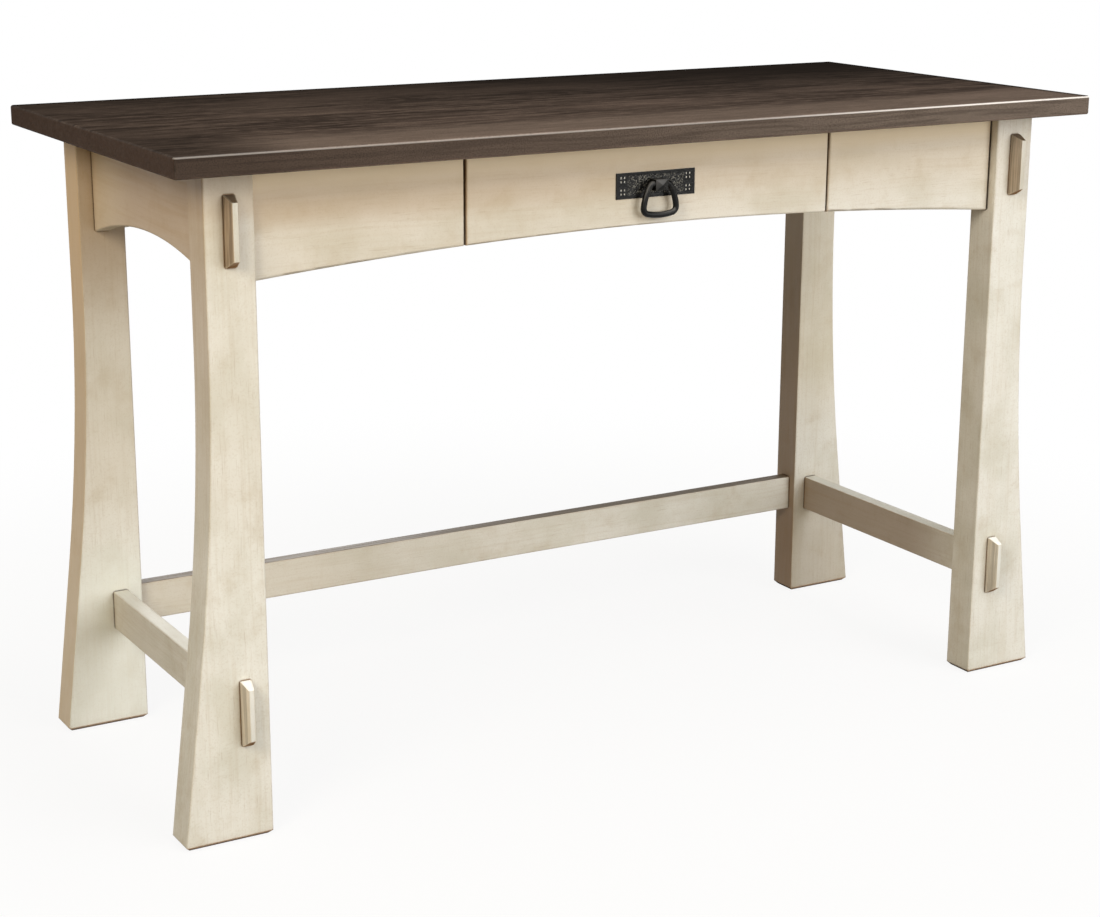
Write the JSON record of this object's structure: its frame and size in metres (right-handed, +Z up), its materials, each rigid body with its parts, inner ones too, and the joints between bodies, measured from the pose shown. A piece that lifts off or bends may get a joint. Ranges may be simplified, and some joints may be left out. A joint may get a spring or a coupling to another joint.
{
  "type": "writing desk",
  "caption": "Sitting-height writing desk with a dark plank top, flared painted legs, arched aprons, low stretchers and a ring-pull drawer on telescoping slides.",
  "frame": {"origin": "on the floor, under the middle of the top", "axes": "+X to the sitter's right, along the desk; +Y from the drawer front to the back; +Z up"},
  "size_m": [1.2192, 0.5396, 0.7723],
  "materials": {
    "stained_top": "dark charcoal-brown stain, satin lacquer",
    "painted_wood": "antique off-white paint, brown glaze rubbed into edges",
    "drawer_wood": "clear-finished maple",
    "drawer_ply": "clear-finished plywood",
    "black_iron": "hammered black iron, waxed",
    "zinc_steel": "zinc-plated steel"
  },
  "bodies": {
    "desk": {"desk_top": "stained_top", "front_left_leg": "painted_wood", "back_left_leg": "painted_wood", "front_left_panel": "painted_wood", "left_side_apron": "painted_wood", "left_side_stretcher": "painted_wood", "upper_left_tenon_cap": "painted_wood", "lower_left_tenon_cap": "painted_wood", "left_drawer_bearer": "drawer_wood", "left_slide_cabinet_member": "zinc_steel", "front_right_leg": "painted_wood", "back_right_leg": "painted_wood", "front_right_panel": "painted_wood", "right_side_apron": "painted_wood", "right_side_stretcher": "painted_wood", "upper_right_tenon_cap": "painted_wood", "lower_right_tenon_cap": "painted_wood", "right_drawer_bearer": "drawer_wood", "right_slide_cabinet_member": "zinc_steel", "back_apron": "painted_wood", "back_stretcher": "painted_wood", "drawer_sub_rail": "drawer_wood", "top_clips": "zinc_steel", "top_clip_screws": "zinc_steel", "sub_rail_screws": "zinc_steel", "bearer_screws": "zinc_steel", "slide_cabinet_screws": "zinc_steel"},
    "slide_middles": {"left_slide_middle_member": "zinc_steel", "right_slide_middle_member": "zinc_steel"},
    "drawer": {"drawer_front": "painted_wood", "drawer_box_front": "drawer_wood", "drawer_left_side": "drawer_wood", "drawer_right_side": "drawer_wood", "drawer_back": "drawer_wood", "drawer_bottom": "drawer_ply", "left_slide_drawer_member": "zinc_steel", "right_slide_drawer_member": "zinc_steel", "slide_drawer_screws": "zinc_steel", "drawer_front_screws": "zinc_steel", "pull_plate": "black_iron", "pull_post": "black_iron", "pull_bolt": "zinc_steel"},
    "pull_ring": {"pull_ring": "black_iron"}
  },
  "joints": [
    {"name": "drawer_slide", "type": "slide", "parent": "desk", "child": "drawer", "axis": [0, -1, 0], "range_m": [0, 0.345]},
    {"name": "slide_middle", "type": "slide", "parent": "desk", "child": "slide_middles", "axis": [0, -1, 0], "range_m": [0, 0.1725]},
    {"name": "ring_swing", "type": "hinge", "parent": "drawer", "child": "pull_ring", "pos_m": [0, -0.21765, 0.6973], "axis": [-1, 0, 0], "range_deg": [-8, 168]}
  ],
  "couplings": [
    {"joint": "slide_middle", "follows": "drawer_slide", "ratio": 0.5}
  ]
}
